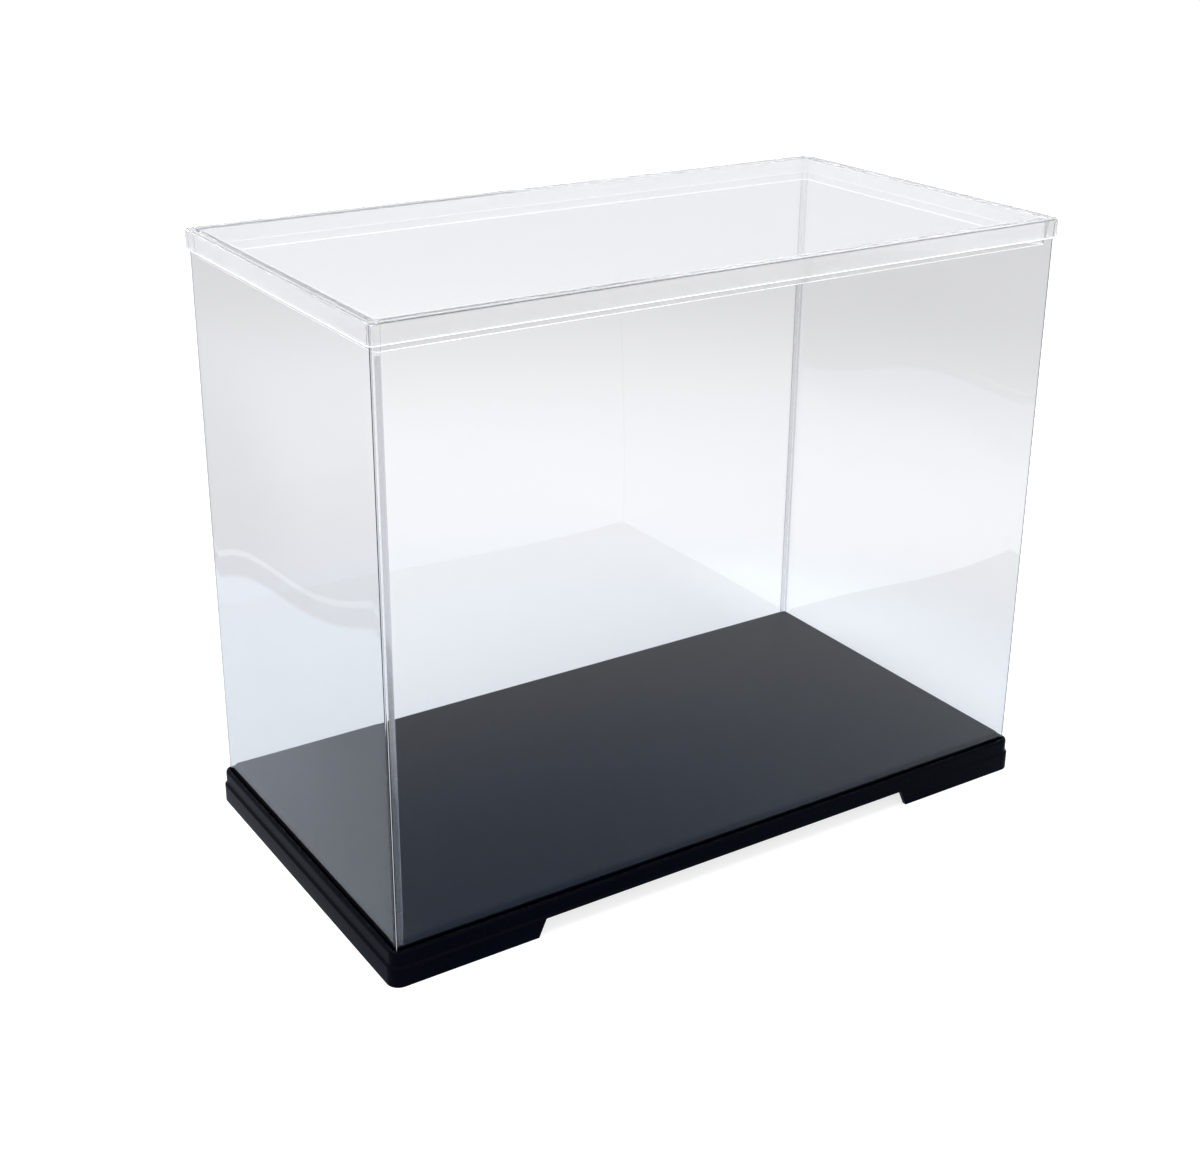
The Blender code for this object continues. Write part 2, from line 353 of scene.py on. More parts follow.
class Wire:
    """A socket's value that can be used in sums: each sum adds a Math node."""

    def __init__(self, recipe, socket):
        self.recipe = recipe
        self.socket = socket

    def maths(self, operation, first, second):
        """Join two values with a Math node."""
        return self.recipe.node("ShaderNodeMath", {"operation": operation}, {0: first, 1: second})

    def pingpong(self, top):
        """Value that rises to this top and falls back to nothing, over and over."""
        return self.maths("PINGPONG", self, top)

    def __add__(self, other):
        return self.maths("ADD", self, other)

    def __sub__(self, other):
        return self.maths("SUBTRACT", self, other)

    def __rsub__(self, other):
        return self.maths("SUBTRACT", other, self)

    def __mul__(self, other):
        return self.maths("MULTIPLY", self, other)

    __radd__ = __add__
    __rmul__ = __mul__


class Recipe:
    """Adds nodes to a material or to the world."""

    def __init__(self, owner):
        owner.use_nodes = True
        self.owner = owner
        self.tree = owner.node_tree
        self.tree.nodes.clear()

    def node(self, kind, settings=None, sockets=None, output=0):
        """Add a node: its settings first, then the values or links of its sockets."""
        node = self.tree.nodes.new(kind)
        for name, value in (settings or {}).items():
            setattr(node, name, value)
        for name, value in (sockets or {}).items():
            if isinstance(value, Wire):
                self.tree.links.new(value.socket, node.inputs[name])
            else:
                node.inputs[name].default_value = value
        return Wire(self, node.outputs[output]) if node.outputs else node

    def place(self):
        """Position in the object's own frame."""
        return self.node("ShaderNodeTexCoord", output="Object")

    def part(self, vector, axis):
        """One axis of a position: X, Y or Z."""
        return self.node("ShaderNodeSeparateXYZ", {}, {0: vector}, output=axis)

    def light_path(self, fact):
        """What the renderer knows of a ray, such as whether it comes from the camera."""
        return self.node("ShaderNodeLightPath", output=fact)

    def noise(self, size, detail=2):
        """Grey noise whose blotches are about this wide."""
        return self.node(
            "ShaderNodeTexNoise", {"noise_dimensions": "3D"},
            {"Vector": self.place(), "Scale": 1 / size, "Detail": detail, "Roughness": 0.5},
        )

    def between(self, value, low, high, out_low=0, out_high=1):
        """Map a value from one range to another, held at its ends."""
        return self.node(
            "ShaderNodeMapRange", {"interpolation_type": "SMOOTHSTEP"},
            {"Value": value, "From Min": low, "From Max": high, "To Min": out_low, "To Max": out_high},
        )

    def blend(self, share, first, second):
        """Mix two colours."""
        return self.node(
            "ShaderNodeMix", {"data_type": "RGBA"}, {0: share, 6: first, 7: second}, output=2
        )

    def bump(self, height, distance):
        """Normals of a surface that rises with this height, up to this distance."""
        return self.node("ShaderNodeBump", {}, {"Height": height, "Distance": distance, "Strength": 1})

    def finish(self, shader, kind="ShaderNodeOutputMaterial"):
        """Lead the shader to the output and give back the material or the world."""
        self.node(kind, {}, {"Surface": shader})
        return self.owner


def colour(levels):
    """Colour setting with the fourth level that a colour socket takes."""
    return (*levels, 1)


def black_plastic(settings):
    """Satin black moulding: fine grain whose raised points are a little paler."""
    recipe = Recipe(bpy.data.materials.new("black_moulded_plastic"))
    dark = colour(settings.colour)
    light = colour(2 * level for level in settings.colour)
    grain_height = 0.000003
    grain = recipe.noise(settings.grain_size)
    shader = recipe.node(
        "ShaderNodeBsdfPrincipled", {},
        {
            "Base Color": recipe.blend(recipe.between(grain, 0.45, 0.75), dark, light),
            "Roughness": recipe.between(grain, *NOISE_RANGE, 0.26, 0.3),
            "Specular IOR Level": 0.078,
            "Normal": recipe.bump(grain, grain_height),
        },
    )
    return recipe.finish(shader)


def clear_plastic(name, tint, ior, haze_levels, ripple_size, ripple_height):
    """Clear plastic with faint handling haze and a slow ripple in its faces."""
    recipe = Recipe(bpy.data.materials.new(name))
    haze_size = 0.02
    haze = recipe.noise(haze_size, detail=4)
    ripple = recipe.noise(ripple_size, detail=1)
    shader = recipe.node(
        "ShaderNodeBsdfPrincipled", {},
        {
            "Base Color": colour(tint),
            "Roughness": recipe.between(haze, 0.4, 0.75, *haze_levels),
            "IOR": ior,
            "Transmission Weight": 1,
            "Normal": recipe.bump(ripple, ripple_height),
        },
    )
    return recipe.finish(shader)


def frosted_plastic(name, clearness, rough_levels, glow):
    """Clear plastic that scatters light where it is melted, cut or matt, and glows. The glow is
    painted light, standing in for bright highlights along the edges."""
    recipe = Recipe(bpy.data.materials.new(name))
    grain = recipe.noise(MATT_GRAIN)
    grain_height = 0.000001
    shader = recipe.node(
        "ShaderNodeBsdfPrincipled", {},
        {
            "Base Color": WHITE,
            "Roughness": recipe.between(grain, *NOISE_RANGE, *rough_levels),
            "IOR": SHEET_IOR,
            "Transmission Weight": clearness,
            # painted light: the emission makes the edges glow like highlights
            "Emission Color": WHITE,
            "Emission Strength": glow,
            "Normal": recipe.bump(grain, grain_height),
        },
    )
    return recipe.finish(shader)


def welded_plastic(settings):
    """Clear plastic pressed by a ribbed tool, greyer in each groove between two ribs: a painted shade
    standing in for the dark ticks that the ribs' slopes show.
    """
    recipe = Recipe(bpy.data.materials.new("welded_sheet_painted_groove_shade"))
    grain = recipe.noise(MATT_GRAIN)
    grain_height = 0.000004
    rib_colour = (0.95, 0.95, 0.96, 1)
    # painted shade in the grooves between the ribs
    painted_groove_shade_colour = (0.66, 0.67, 0.69, 1)
    half_pitch = settings.rib_pitch / 2
    height = recipe.part(recipe.place(), "Z")
    groove_shade = recipe.between(height.pingpong(half_pitch), 0, half_pitch)
    shader = recipe.node(
        "ShaderNodeBsdfPrincipled", {},
        {
            "Base Color": recipe.blend(groove_shade, rib_colour, painted_groove_shade_colour),
            "Roughness": recipe.between(grain, *NOISE_RANGE, 0.04, 0.1),
            "IOR": SHEET_IOR,
            "Transmission Weight": 0.95,
            "Normal": recipe.bump(grain, grain_height),
        },
    )
    return recipe.finish(shader)


def rounded_outline(inset, radius, steps):
    """Plan points of a rounded rectangle that lies inset from the case's outline."""
    centre_x = CASE_LENGTH / 2 - inset - radius
    centre_y = CASE_DEPTH / 2 - inset - radius
    points = []
    for corner, (side_x, side_y) in enumerate(((1, 1), (-1, 1), (-1, -1), (1, -1))):
        for step in range(steps + 1):
            angle = (corner + step / steps) * QUARTER_TURN
            x = side_x * centre_x + radius * math.cos(angle)
            y = side_y * centre_y + radius * math.sin(angle)
            points.append((x, y))
    return points


def filleted(corners, steps):
    """Round a profile's corners. A corner is inset, height, plan radius and fillet."""
    levels = []
    count = len(corners)
    for number, (*corner, fillet) in enumerate(corners):
        corner = Vector(corner)
        if fillet == 0 or number in (0, count - 1):
            levels.append(corner)
            continue
        before = Vector(corners[number - 1][:3])
        after = Vector(corners[number + 1][:3])
        start = corner + (before - corner).normalized() * fillet
        end = corner + (after - corner).normalized() * fillet
        for step in range(steps + 1):
            share = step / steps
            first = start.lerp(corner, share)
            second = corner.lerp(end, share)
            levels.append(first.lerp(second, share))
    return levels


def lofted(levels, corner_steps, lift=None):
    """Closed body through rounded outlines, capped at its first and last level."""
    shape = bmesh.new()
    rings = []
    for inset, height, radius in levels:
        ring = []
        for x, y in plan_points(inset, radius, corner_steps, lift):
            z = height + (lift(x, y, height) if lift else 0)
            ring.append(shape.verts.new((x, y, z)))
        rings.append(ring)
    for ring, next_ring in zip(rings, rings[1:]):
        for number in range(len(ring)):
            shape.faces.new((ring[number - 1], ring[number], next_ring[number], next_ring[number - 1]))
    shape.faces.new(rings[0])
    shape.faces.new(rings[-1])
    bmesh.ops.recalc_face_normals(shape, faces=shape.faces)
    return shape


def plan_points(inset, radius, corner_steps, lift):
    """Outline points, with extra ones on the long sides where a cut-out needs them."""
    level = 1e-9
    outline = rounded_outline(inset, radius, corner_steps)
    if not lift:
        return outline
    points = []
    for number, point in enumerate(outline):
        before = outline[number - 1]
        if abs(point[1] - before[1]) < level and abs(point[0] - before[0]) > CASE_LENGTH / 2:
            stops = sorted(lift.stops, reverse=before[0] > point[0])
            points += [(x, point[1]) for x in stops]
        points.append(point)
    return points


class CutOutLift:
    """Raises the skirt's lower edge between the feet of the long sides."""

    def __init__(self, settings):
        strip_left_above = 0.0002
        self.top = settings.lower_band - strip_left_above
        self.band = settings.lower_band
        self.far = CASE_LENGTH / 2 - settings.foot_length
        self.near = self.far - settings.foot_slope
        self.stops = (-self.far, -self.near, self.near, self.far)
        self.side = CASE_DEPTH / 2 - settings.skirt_wall - settings.edge_fillet

    def __call__(self, x, y, height):
        if height >= self.band or abs(y) < self.side:
            return 0
        share = min(max((self.far - abs(x)) / (self.far - self.near), 0), 1)
        return share * self.top * (1 - height / self.band)


def new_piece(name, shape, materials, body, replaced):
    """Turn a bmesh into a named piece that rides on a body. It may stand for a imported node."""
    mesh = bpy.data.meshes.new(name)
    shape.to_mesh(mesh)
    shape.free()
    mesh.shade_smooth()
    mesh.set_sharp_from_angle(angle=SMOOTH_ANGLE)
    for material in materials:
        mesh.materials.append(material)
    piece = bpy.data.objects.new(name, mesh)
    bpy.context.scene.collection.objects.link(piece)
    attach(piece, body)
    if replaced:
        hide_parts(replaced)


def base_profile(settings):
    """Base from the hollow's ceiling, round the skirt and the rim, to the platform's top."""
    fillet = settings.edge_fillet
    ceiling = BASE_HIGH.z - settings.wall
    floor = settings.rim_height - settings.groove_depth
    shelf = floor - settings.wall
    skirt_inner = settings.skirt_wall
    hollow = settings.groove_inner_inset + settings.wall
    rim_outer = settings.ledge_step
    rim_inner = rim_outer + settings.rim_thickness
    slot_inner = settings.groove_inner_inset
    radius = settings.corner_radius
    hollow_radius = 0.002
    rim_round = settings.rim_thickness * 0.85
    return [
        (hollow, ceiling, hollow_radius, 0),
        (hollow, shelf, hollow_radius, fillet),
        (skirt_inner, shelf, radius - skirt_inner, fillet),
        (skirt_inner, 0, radius - skirt_inner, fillet),
        (0, 0, radius, fillet),
        (0, settings.lower_band, radius, fillet),
        (rim_outer, settings.lower_band + rim_outer, radius - rim_outer, fillet),
        (rim_outer, settings.rim_height, radius - rim_outer, rim_round),
        (rim_inner, settings.rim_height, SLOT_CORNER_RADIUS, fillet),
        (rim_inner, floor, SLOT_CORNER_RADIUS, fillet),
        (slot_inner, floor, INNER_CORNER_RADIUS, fillet),
        (slot_inner, BASE_HIGH.z, INNER_CORNER_RADIUS, settings.platform_fillet),
        (slot_inner + CAP_INSET, BASE_HIGH.z, CAP_RADIUS, 0),
    ]


def add_rib(shape, settings, centre, half_length, along_x):
    """Add one rib that hangs from the platform and narrows to a rounded lower edge."""
    ceiling = BASE_HIGH.z - settings.wall
    low = ceiling - settings.rib_depth
    taper = 0.8
    rounding = 0.4
    root = settings.rib_thickness / 2
    tip = root * taper
    round_off = root * rounding
    section = [
        (-root, ceiling + settings.wall / 2), (-tip, low + round_off), (-tip + round_off, low),
        (tip - round_off, low), (tip, low + round_off), (root, ceiling + settings.wall / 2),
    ]
    ends = []
    for along in (-half_length, half_length):
        ring = []
        for across, z in section:
            x, y = (along, centre + across) if along_x else (centre + across, along)
            ring.append(shape.verts.new((x, y, z)))
        ends.append(ring)
    faces = [shape.faces.new(ring) for ring in ends]
    for number in range(len(section)):
        faces.append(shape.faces.new(
            (ends[0][number - 1], ends[0][number], ends[1][number], ends[1][number - 1])
        ))
    bmesh.ops.recalc_face_normals(shape, faces=faces)


def rib_shape(settings):
    """Crossing ribs under the platform."""
    hollow = settings.groove_inner_inset + settings.wall
    span_x = CASE_LENGTH - 2 * hollow
    span_y = CASE_DEPTH - 2 * hollow
    bite = settings.wall / 2
    shape = bmesh.new()
    for number in range(settings.cross_ribs):
        centre = span_x * ((number + 1) / (settings.cross_ribs + 1) - 0.5)
        add_rib(shape, settings, centre, span_y / 2 + bite, along_x=False)
    for number in range(settings.long_ribs):
        centre = span_y * ((number + 1) / (settings.long_ribs + 1) - 0.5)
        add_rib(shape, settings, centre, span_x / 2 + bite, along_x=True)
    return shape


class CASE_OT_base(bpy.types.Operator):
    """Build the black base with its skirt, feet, rim, groove, platform and ribs"""

    bl_idname = "display_case.base"
    bl_label = "Base"

    def execute(self, context):
        settings = context.scene.case_base
        black = black_plastic(settings)
        levels = filleted(base_profile(settings), steps=5)
        shape = lofted(levels, corner_steps=12, lift=CutOutLift(settings))
        new_piece("base_moulding", shape, [black], "base", "base")
        new_piece("base_ribs", rib_shape(settings), [black], "base", None)
        return {"FINISHED"}


def fold(centre_x, centre_y, first_quarter, radius, steps):
    """Plan points of a quarter fold, without its first point."""
    points = []
    for step in range(1, steps + 1):
        angle = (first_quarter + step / steps) * QUARTER_TURN
        points.append((centre_x + radius * math.cos(angle), centre_y + radius * math.sin(angle)))
    return points


def straight(start, end, steps):
    """Plan points along a straight stretch, without its first point."""
    return [
        (start[0] + (end[0] - start[0]) * step / steps, start[1] + (end[1] - start[1]) * step / steps)
        for step in range(1, steps + 1)
    ]


def free_edge_x(settings):
    """X of a sheet's free edge, beside the other sheet's tab fold."""
    return settings.inset - CASE_LENGTH / 2 + FREE_EDGE_SHARE * settings.fold_radius


def sheet_plan(settings):
    """Outer face of the front and right sheet in plan, from its free edge to its tab's edge."""
    long_steps = 48
    short_steps = 28
    fold_steps = 12
    tab_steps = 3
    radius = settings.fold_radius
    right = CASE_LENGTH / 2 - settings.inset
    front = settings.inset - CASE_DEPTH / 2
    tab_y = CASE_DEPTH / 2 - settings.tab_inset
    fold_x = right - radius
    points = [(free_edge_x(settings), front)]
    points += straight(points[-1], (fold_x, front), long_steps)
    points += fold(fold_x, front + radius, 3, radius, fold_steps)
    points += straight(points[-1], (right, tab_y - radius), short_steps)
    points += fold(fold_x, tab_y - radius, 0, radius, fold_steps)
    points += straight(points[-1], (right - settings.tab_width, tab_y), tab_steps)
    return points


def sheet_rows(settings):
    """Heights of the sheet's mesh rows."""
    low, high = settings.bow_start, LID_LOW.z
    steps = 48
    between = [low + (high - low) * row / steps for row in range(steps + 1)]
    return [SHEET_LOW.z, *between, SHEET_HIGH.z]


def bowed(x, y, z, settings):
    """Move a point of the sleeve outward where its panel bulges."""
    low, high = settings.bow_start, LID_LOW.z
    rise = min(max((z - low) / (high - low), 0), 1)
    bow = settings.bow * math.sin(math.pi * rise) ** 2
    width_x = CASE_LENGTH - 2 * settings.inset
    width_y = CASE_DEPTH - 2 * settings.inset
    shift_x = bow * math.cos(math.pi * y / width_y) ** 2
    shift_y = bow * math.cos(math.pi * x / width_x) ** 2
    return x + math.copysign(shift_x, x), y + math.copysign(shift_y, y), z


def offset_plan(points, distance):
    """Move a plan line sideways, to its left."""
    moved = []
    sharpest = 0.5
    for number, point in enumerate(points):
        before = Vector(points[max(number - 1, 0)])
        after = Vector(points[min(number + 1, len(points) - 1)])
        here = Vector(point)
        first = (here - before).normalized() if number else (after - here).normalized()
        second = (after - here).normalized() if number < len(points) - 1 else first
        along = (first + second).normalized()
        stretch = 1 / max(along.dot(first), sharpest)
        moved.append((here.x - along.y * distance * stretch, here.y + along.x * distance * stretch))
    return moved


def sheet_shape(settings):
    """Closed folded sheet with its real thickness."""
    outer = sheet_plan(settings)
    inner = offset_plan(outer, settings.thickness)
    loop = outer + inner[::-1]
    shape = bmesh.new()
    rows = []
    for height in sheet_rows(settings):
        rows.append([shape.verts.new(bowed(x, y, height, settings)) for x, y in loop])
    for row, next_row in zip(rows, rows[1:]):
        for number in range(len(loop)):
            shape.faces.new((row[number - 1], row[number], next_row[number], next_row[number - 1]))
    count = len(outer)
    for row in (rows[0], rows[-1]):
        for number in range(count - 1):
            mate = len(loop) - 1 - number
            shape.faces.new((row[number], row[number + 1], row[mate - 1], row[mate]))
    bmesh.ops.recalc_face_normals(shape, faces=shape.faces)
    mark_creases(shape, settings)
    return shape


def mark_creases(shape, settings):
    """Give the faces of the two folds the second material, which paints shade in the folds, and the
    cut edges the third, which glows with painted light.
    """
    fold_x = CASE_LENGTH / 2 - settings.inset - settings.fold_radius
    front = settings.inset - CASE_DEPTH / 2 + settings.fold_radius
    tab = CASE_DEPTH / 2 - settings.tab_inset - settings.fold_radius
    reach = 0.0001
    for face in shape.faces:
        centre = face.calc_center_median()
        if centre.x > fold_x and not front < centre.y < tab:
            face.material_index = 1
        elif centre.x < free_edge_x(settings) + reach:
            face.material_index = 2


def weld_shape(settings):
    """Ribbed strip that the welding tool leaves on the front wall beside the near corner."""
    left = settings.inset - CASE_LENGTH / 2 + settings.weld_start
    right = left + settings.weld_width
    gap = 0.00002
    back = settings.inset - CASE_DEPTH / 2 - gap
    edge = back - gap
    shoulder = 0.0003
    low = settings.weld_foot
    count = int((LID_LOW.z - low) / settings.rib_pitch)
    samples = 6
    shape = bmesh.new()
    rows = []
    for row in range(count * samples + 1):
        z = low + row * settings.rib_pitch / samples
        swell = settings.rib_height * (0.5 - 0.5 * math.cos(row / samples * 2 * math.pi))
        front = edge - swell
        plan = [
            (left, back), (left, edge), (left + shoulder, front), (right - shoulder, front),
            (right, edge), (right, back),
        ]
        rows.append([shape.verts.new((x, y, z)) for x, y in plan])
    for row, next_row in zip(rows, rows[1:]):
        for number in range(len(row)):
            shape.faces.new((row[number - 1], row[number], next_row[number], next_row[number - 1]))
    shape.faces.new(rows[0])
    shape.faces.new(rows[-1])
    bmesh.ops.recalc_face_normals(shape, faces=shape.faces)
    return shape


def turned(shape):
    """Turn a shape half round the case's upright axis."""
    half_turn = Matrix.Rotation(math.pi, 3, "Z")
    bmesh.ops.rotate(shape, verts=shape.verts, cent=(0, 0, 0), matrix=half_turn)
    return shape


class CASE_OT_sheets(bpy.types.Operator):
    """Build the two folded clear sheets of the sleeve"""

    bl_idname = "display_case.sheets"
    bl_label = "Clear sheets"

    def execute(self, context):
        settings = context.scene.case_sheets
        clear = clear_plastic(
            "clear_sheet", settings.colour, SHEET_IOR,
            haze_levels=(0.004, 0.012), ripple_size=0.08, ripple_height=0.00002,
        )
        # painted shade: the fold material is darker than the clear sheet
        crease_shade = clear_plastic(
            "creased_sheet_painted_shade", settings.painted_crease_shade, SHEET_IOR,
            haze_levels=(0.06, 0.1), ripple_size=0.01, ripple_height=0.00002,
        )
        # The cut edge's glow is painted light, standing in for the highlight along the sheet's edge.
        cut_edge_glow = frosted_plastic(
            "cut_sheet_edge_painted_glow", clearness=0.2, rough_levels=(0.3, 0.4), glow=0.1,
        )
        plastics = [clear, crease_shade, cut_edge_glow]
        front = sheet_shape(settings)
        back = turned(sheet_shape(settings))
        new_piece("front_right_clear", front, plastics, "sleeve", "front_right_sheet")
        new_piece("back_left_clear", back, plastics, "sleeve", "back_left_sheet")
        return {"FINISHED"}


class CASE_OT_welds(bpy.types.Operator):
    """Build the ribbed weld strips beside the near and the back right corner"""

    bl_idname = "display_case.welds"
    bl_label = "Weld ribs"

    def execute(self, context):
        settings = context.scene.case_sheets
        welded = welded_plastic(settings)
        for name, shape in (
            ("weld_ribs_near", weld_shape(settings)),
            ("weld_ribs_back", turned(weld_shape(settings))),
        ):
            new_piece(name, shape, [welded], "sleeve", None)
        return {"FINISHED"}


def lid_profile(settings):
    """Lid from its ceiling, down the flange, up into the slot, round the skirt, to the top."""
    fillet = 0.00015
    ceiling_fillet = 0.0004
    flange_root = 0.002
    flange_taper = 0.0002
    edge_band = 0.0006
    top = LID_HIGH.z
    seat = top - settings.panel
    skirt_edge = top - settings.skirt_depth
    flange_edge = top - settings.flange_depth
    ceiling = settings.slot_inner + flange_root
    flange_tip = ceiling - flange_taper
    outside = settings.inset
    return [
        (ceiling + CAP_INSET, seat, CAP_RADIUS, 0),
        (ceiling, seat, INNER_CORNER_RADIUS, ceiling_fillet),
        (flange_tip, flange_edge + edge_band, INNER_CORNER_RADIUS, 0),
        (flange_tip, flange_edge, INNER_CORNER_RADIUS, fillet),
        (flange_tip - settings.edge_wall, flange_edge, INNER_CORNER_RADIUS, fillet),
        (settings.slot_inner, seat, INNER_CORNER_RADIUS, fillet),
        (settings.slot_outer, seat, SLOT_CORNER_RADIUS, fillet),
        (outside + settings.edge_wall, skirt_edge, SLOT_CORNER_RADIUS, fillet),
        (outside, skirt_edge, settings.corner_radius, fillet),
        (outside, top, settings.corner_radius, settings.edge_rounding),
        (outside + CAP_INSET, top, settings.corner_radius - CAP_RADIUS, 0),
    ]


def mark_lid_faces(shape, heights, reach):
    """Give upright and rounded faces the second material, with its faint painted glow, and faces at
    these heights the third, with its painted highlight.
    """
    for face in shape.faces:
        height = face.calc_center_median().z
        if any(abs(height - edge) < reach for edge in heights):
            face.material_index = 2
        elif abs(face.normal.z) < FLAT_FACE:
            face.material_index = 1


class CASE_OT_lid(bpy.types.Operator):
    """Build the clear lid with its panel, skirt and flange"""

    bl_idname = "display_case.lid"
    bl_label = "Lid"

    def execute(self, context):
        settings = context.scene.case_lid
        clear = clear_plastic(
            "clear_moulding", settings.colour, LID_IOR,
            haze_levels=(0.004, 0.012), ripple_size=0.06, ripple_height=0.00003,
        )
        # Painted light: the sides glow a little to look lighter, and the skirt's and flange's lower
        # edges glow as painted highlights over a white frost.
        side = frosted_plastic(
            "clear_moulded_side_painted_glow", clearness=0.88, rough_levels=(0.05, 0.1), glow=0.03,
        )
        glowing_edge = frosted_plastic(
            "lid_edge_painted_highlight", clearness=0.1, rough_levels=(0.4, 0.6), glow=0.8,
        )
        levels = filleted(lid_profile(settings), steps=6)
        shape = lofted(levels, corner_steps=12)
        skirt_edge = LID_HIGH.z - settings.skirt_depth
        flange_edge = LID_HIGH.z - settings.flange_depth
        mark_lid_faces(shape, heights=(skirt_edge, flange_edge), reach=0.0003)
        new_piece("lid_moulding", shape, [clear, side, glowing_edge], "lid", "lid")
        return {"FINISHED"}


def plain_floor(recipe, settings, x, reach):
    """Colour of the floor where the case is looked through: paler grey further off."""
    near_zone = (0.2, 0.45)
    middle_zone = (0.4, 1.2)
    far_zone = (2.6, 7)
    right_zone = (0.16, 0.24)
    close_zone = (0.22, 0.36)
    near = colour(settings.near_floor)
    middle = colour(settings.middle_floor)
    shown = recipe.blend(recipe.between(reach, *near_zone), near, middle)
    shown = recipe.blend(recipe.between(reach, *middle_zone), shown, colour(settings.far_floor))
    shown = recipe.blend(recipe.between(reach, *far_zone), shown, colour(settings.horizon))
    # painted pool of light on the floor right of the case
    light_pool = recipe.between(x, *right_zone) * recipe.between(reach, *close_zone, 1, 0)
    return recipe.blend(light_pool, shown, colour(settings.painted_light_floor))


def mirrored_floor(recipe, settings, plain, x, y):
    """Colour of what the case mirrors: the table with painted shade in front of the case, its edge
    with a painted highlight, and the room past it.
    """
    shade_start = (-0.42, -0.12)
    shade_end = (-0.09, 0)
    shade_side = (-0.1, 0.25)
    least_shade = 0.3
    left_zone = (-0.21, -0.14)
    edge_blur = (-0.004, 0.004)
    room_depth = (-0.45, -0.1)
    line_start = (-0.034, -0.031)
    line_end = (-0.026, -0.023)
    line_tail = (0.42, 0.5)
    # painted shade on the floor in front of the case
    shade = recipe.between(y, *shade_start) * recipe.between(y, *shade_end, 1, 0)
    shade = shade * recipe.between(x, *shade_side, 1, least_shade)
    table = recipe.blend(shade, plain, colour(settings.shaded_floor))
    left = recipe.between(x, *left_zone, 1, 0)
    table = recipe.blend(left, table, colour(settings.left_floor))
    # distance from the table's edge, which runs aslant left of the case
    past_edge = 0.4085 + x * 0.912 - y * 0.41
    depth = recipe.between(past_edge, *room_depth)
    room = recipe.blend(depth, colour(settings.backdrop), colour(settings.beyond_table))
    shown = recipe.blend(recipe.between(past_edge, *edge_blur), room, table)
    # painted highlight along the table's edge
    edge_highlight = recipe.between(past_edge, *line_start) * recipe.between(past_edge, *line_end, 1, 0)
    edge_highlight = edge_highlight * recipe.between(y, *line_tail, 1, 0)
    return recipe.blend(edge_highlight, shown, colour(settings.table_edge_highlight))


def floor_material(settings):
    """White floor to the camera. Through the case it is paler grey further off, with a painted pool of
    light right of the case, and what the case mirrors also shows a table's edge with a painted
    highlight along it and painted shade in front of the case."""
    recipe = Recipe(bpy.data.materials.new("pale_floor"))
    diffuse_share = 0.8
    glow_share = 0.335
    seen_base = (0.3, 0.3, 0.3, 1)
    seen_glow = (0.8, 0.8, 0.8, 1)
    seen = recipe.light_path("Is Camera Ray")
    mirrored = recipe.between(recipe.light_path("Glossy Depth"), 0, 1)
    place = recipe.place()
    x = recipe.part(place, "X")
    y = recipe.part(place, "Y")
    reach = recipe.node("ShaderNodeVectorMath", {"operation": "LENGTH"}, {0: place}, output="Value")
    plain = plain_floor(recipe, settings, x, reach)
    mirror = mirrored_floor(recipe, settings, plain, x, y)
    studio = recipe.blend(mirrored, plain, mirror)
    shader = recipe.node(
        "ShaderNodeBsdfPrincipled", {},
        {
            "Base Color": recipe.blend(seen, recipe.blend(diffuse_share, studio, BLACK), seen_base),
            "Roughness": 0.9,
            "Specular IOR Level": 0,
            "Emission Color": recipe.blend(seen, recipe.blend(glow_share, studio, BLACK), seen_glow),
            "Emission Strength": 1,
        },
    )
    return recipe.finish(shader)


def soft_light(name, place, target, size, power):
    """Large square lamp aimed at a point, and hidden from mirrored rays."""
    lamp = bpy.data.lights.new(name, "AREA")
    lamp.shape = "RECTANGLE"
    lamp.size, lamp.size_y = size
    lamp.energy = power
    item = bpy.data.objects.new(name, lamp)
    item.visible_glossy = False
    item.location = place
    item.rotation_euler = (Vector(target) - Vector(place)).to_track_quat("-Z", "Y").to_euler()
    bpy.context.scene.collection.objects.link(item)


def make_world(settings):
    """Pale surroundings that are dimmer near the horizon, and white to the camera."""
    world = bpy.data.worlds.new("studio")
    bpy.context.scene.world = world
    recipe = Recipe(world)
    low_zone = (0, 0.3)
    seen = recipe.light_path("Is Camera Ray")
    height = recipe.between(recipe.part(recipe.place(), "Z"), *low_zone)
    studio = recipe.blend(height, colour(settings.low_studio), colour(settings.high_studio))
    glow = recipe.node(
        "ShaderNodeBackground", {},
        {"Color": recipe.blend(seen, studio, WHITE), "Strength": 1},
    )
    recipe.finish(glow, "ShaderNodeOutputWorld")


def make_camera(settings):
    """Camera at the photographed angle."""
    data = bpy.data.cameras.new("camera")
    data.sensor_width = 36
    data.lens = settings.lens
    picture_width, picture_height = 1200, 1154
    axis_x, axis_y = 608.4, 520.5
    data.shift_x = (picture_width / 2 - axis_x) / picture_width
    data.shift_y = (axis_y - picture_height / 2) / picture_width
    data.clip_start = 0.01
    data.clip_end = 40
    camera = bpy.data.objects.new("camera", data)
    azimuth, elevation, roll = (math.radians(angle) for angle in (33.217, 21.717, 0.566))
    back = Vector((
        -math.sin(azimuth) * math.cos(elevation),
        -math.cos(azimuth) * math.cos(elevation),
        math.sin(elevation),
    ))
    right = Vector((math.cos(azimuth), -math.sin(azimuth), 0))
    up = back.cross(right)
    rolled_right = right * math.cos(roll) + up * math.sin(roll)
    rolled_up = up * math.cos(roll) - right * math.sin(roll)
    turn = Matrix((rolled_right, rolled_up, back)).transposed()
    place = (-0.46695, -0.69583, 0.48292)
    camera.matrix_world = Matrix.Translation(place) @ turn.to_4x4()
    bpy.context.scene.collection.objects.link(camera)
    bpy.context.scene.camera = camera


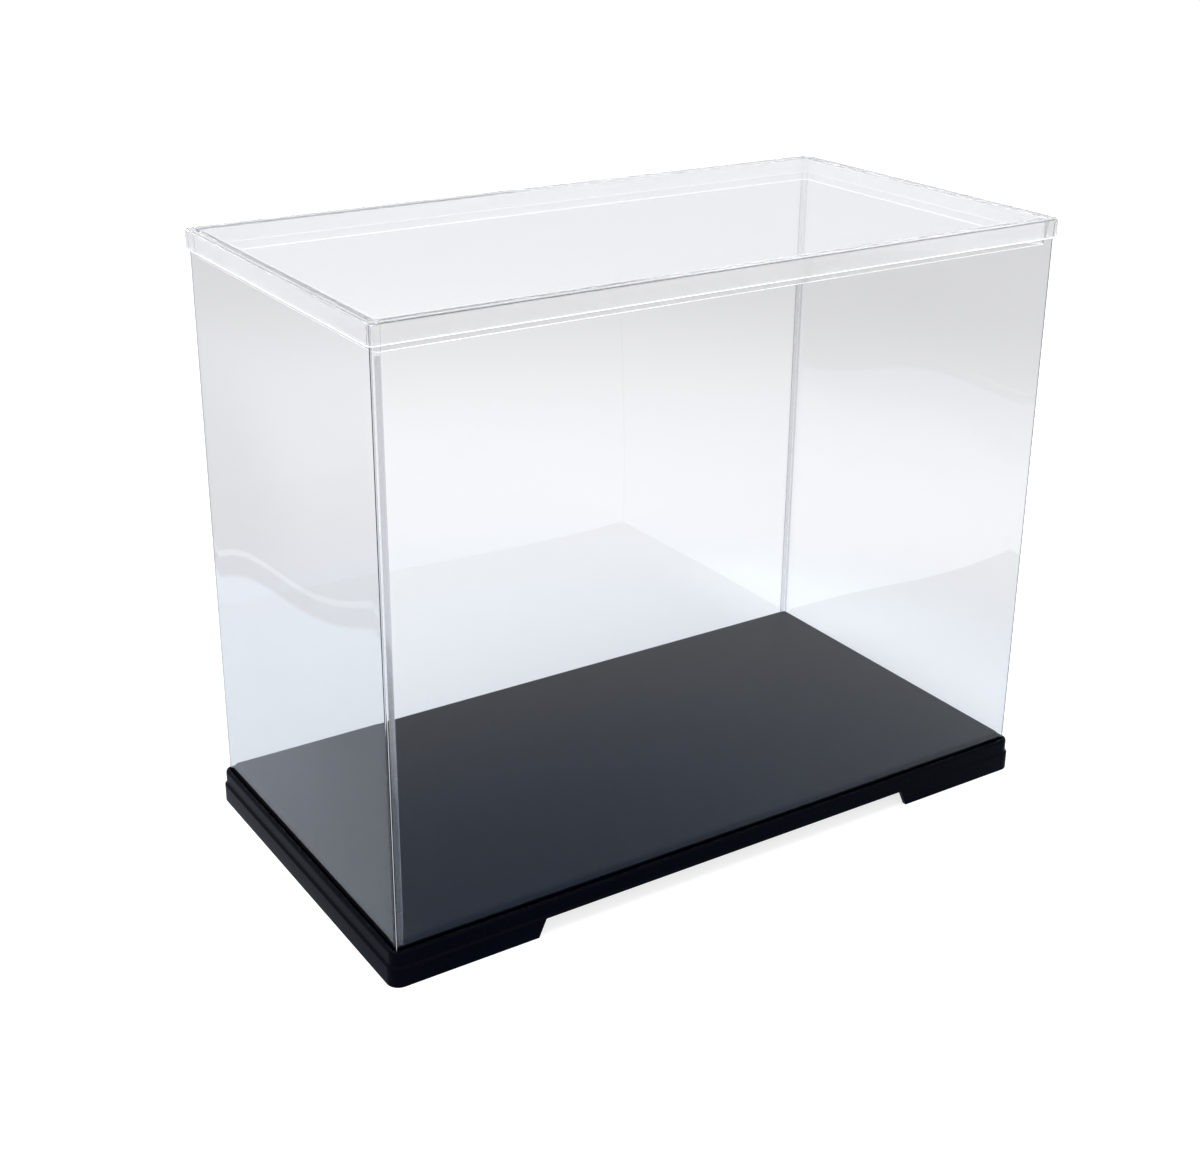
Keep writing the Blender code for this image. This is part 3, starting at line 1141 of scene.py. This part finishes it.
class CASE_OT_stage(bpy.types.Operator):
    """Build the floor, the soft light and the camera"""

    bl_idname = "display_case.stage"
    bl_label = "Stage"

    def execute(self, context):
        settings = context.scene.case_stage
        drop = 0.00005
        shape = bmesh.new()
        bmesh.ops.create_circle(shape, cap_ends=True, radius=settings.floor_radius, segments=96)
        mesh = bpy.data.meshes.new("floor")
        shape.to_mesh(mesh)
        shape.free()
        mesh.materials.append(floor_material(settings))
        floor = bpy.data.objects.new("floor", mesh)
        floor.location.z = -drop
        context.scene.collection.objects.link(floor)
        make_world(settings)
        soft_light(
            "key_light", place=(-0.5, 0.1, 1.8), target=(0, 0, 0), size=(1.8, 1.8), power=34,
        )
        make_camera(settings)
        view = context.scene.view_settings
        view.view_transform = "Standard"
        view.gamma = 0.8
        cycles = context.scene.cycles
        cycles.max_bounces = 20
        cycles.transmission_bounces = 20
        cycles.glossy_bounces = 6
        return {"FINISHED"}


OPERATORS = (CASE_OT_base, CASE_OT_sheets, CASE_OT_welds, CASE_OT_lid, CASE_OT_stage)
SETTINGS = (
    ("case_base", CASE_PG_base),
    ("case_sheets", CASE_PG_sheets),
    ("case_lid", CASE_PG_lid),
    ("case_stage", CASE_PG_stage),
)


class CASE_PT_panel(bpy.types.Panel):
    """Buttons and sizes of the display case."""

    bl_idname = "CASE_PT_panel"
    bl_label = "Display case"
    bl_space_type = "VIEW_3D"
    bl_region_type = "UI"
    bl_category = "Display case"

    def draw(self, context):
        for operator in OPERATORS:
            self.layout.operator(operator.bl_idname)
        for name, group in SETTINGS:
            box = self.layout.box()
            for label in group.__annotations__:
                box.prop(getattr(context.scene, name), label)


def register():
    for group in (*(group for _, group in SETTINGS), *OPERATORS, CASE_PT_panel):
        bpy.utils.register_class(group)
    for name, group in SETTINGS:
        setattr(bpy.types.Scene, name, PointerProperty(type=group))


def unregister():
    for name, _ in SETTINGS:
        delattr(bpy.types.Scene, name)
    for group in (CASE_PT_panel, *OPERATORS[::-1], *(group for _, group in SETTINGS[::-1])):
        bpy.utils.unregister_class(group)


def main():
    register()
    bpy.ops.display_case.base()
    bpy.ops.display_case.sheets()
    bpy.ops.display_case.welds()
    bpy.ops.display_case.lid()
    bpy.ops.display_case.stage()


if __name__ == "__main__":
    main()
